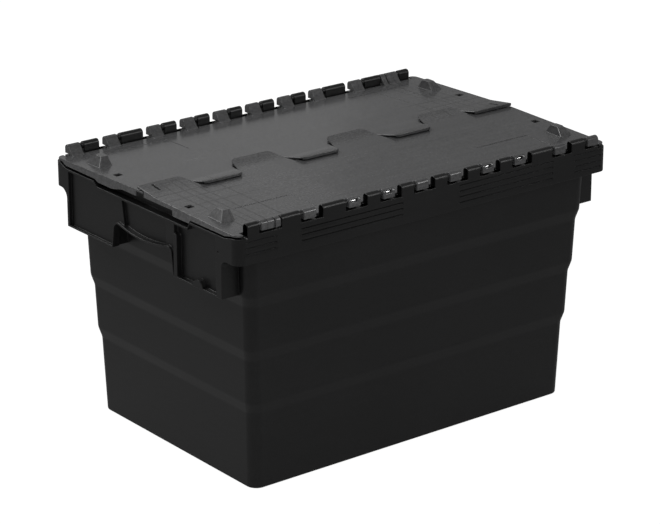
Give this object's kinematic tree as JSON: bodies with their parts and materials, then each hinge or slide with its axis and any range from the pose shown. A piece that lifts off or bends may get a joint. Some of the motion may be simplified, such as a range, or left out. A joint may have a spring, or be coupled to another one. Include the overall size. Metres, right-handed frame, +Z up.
{
  "type": "attached-lid storage crate",
  "caption": "Tapered stackable crate with sloped wall ledges, end hand holds and hinged interlocking lid flaps on steel pins.",
  "frame": {"origin": "on the floor under the middle of the crate", "axes": "+X along the long side, +Y across it towards the back flap's hinge, +Z up"},
  "size_m": [0.6, 0.4, 0.365],
  "materials": {
    "crate_plastic": "fine moulded black polypropylene",
    "lid_plastic": "satin dark grey polypropylene",
    "pin_steel": "bright zinc-plated wire"
  },
  "bodies": {
    "crate": {"crate_body": "crate_plastic", "hinge_pin_front_1": "pin_steel", "hinge_pin_front_2": "pin_steel", "hinge_pin_front_3": "pin_steel", "hinge_pin_front_4": "pin_steel", "hinge_pin_front_5": "pin_steel", "hinge_pin_front_6": "pin_steel", "hinge_pin_front_7": "pin_steel", "hinge_pin_front_8": "pin_steel", "hinge_pin_front_9": "pin_steel", "hinge_pin_front_10": "pin_steel", "hinge_pin_back_1": "pin_steel", "hinge_pin_back_2": "pin_steel", "hinge_pin_back_3": "pin_steel", "hinge_pin_back_4": "pin_steel", "hinge_pin_back_5": "pin_steel", "hinge_pin_back_6": "pin_steel", "hinge_pin_back_7": "pin_steel", "hinge_pin_back_8": "pin_steel", "hinge_pin_back_9": "pin_steel", "hinge_pin_back_10": "pin_steel"},
    "front_flap": {"lid_front": "lid_plastic"},
    "back_flap": {"lid_back": "lid_plastic"}
  },
  "joints": [
    {"name": "front_flap_hinge", "type": "hinge", "parent": "crate", "child": "front_flap", "pos_m": [0, -0.1947, 0.3597], "axis": [1, 0, 0], "range_deg": [0, 250]},
    {"name": "back_flap_hinge", "type": "hinge", "parent": "crate", "child": "back_flap", "pos_m": [0, 0.1947, 0.3597], "axis": [-1, 0, 0], "range_deg": [0, 250]}
  ],
  "couplings": [
    {"joint": "back_flap_hinge", "follows": "front_flap_hinge", "ratio": 1}
  ]
}
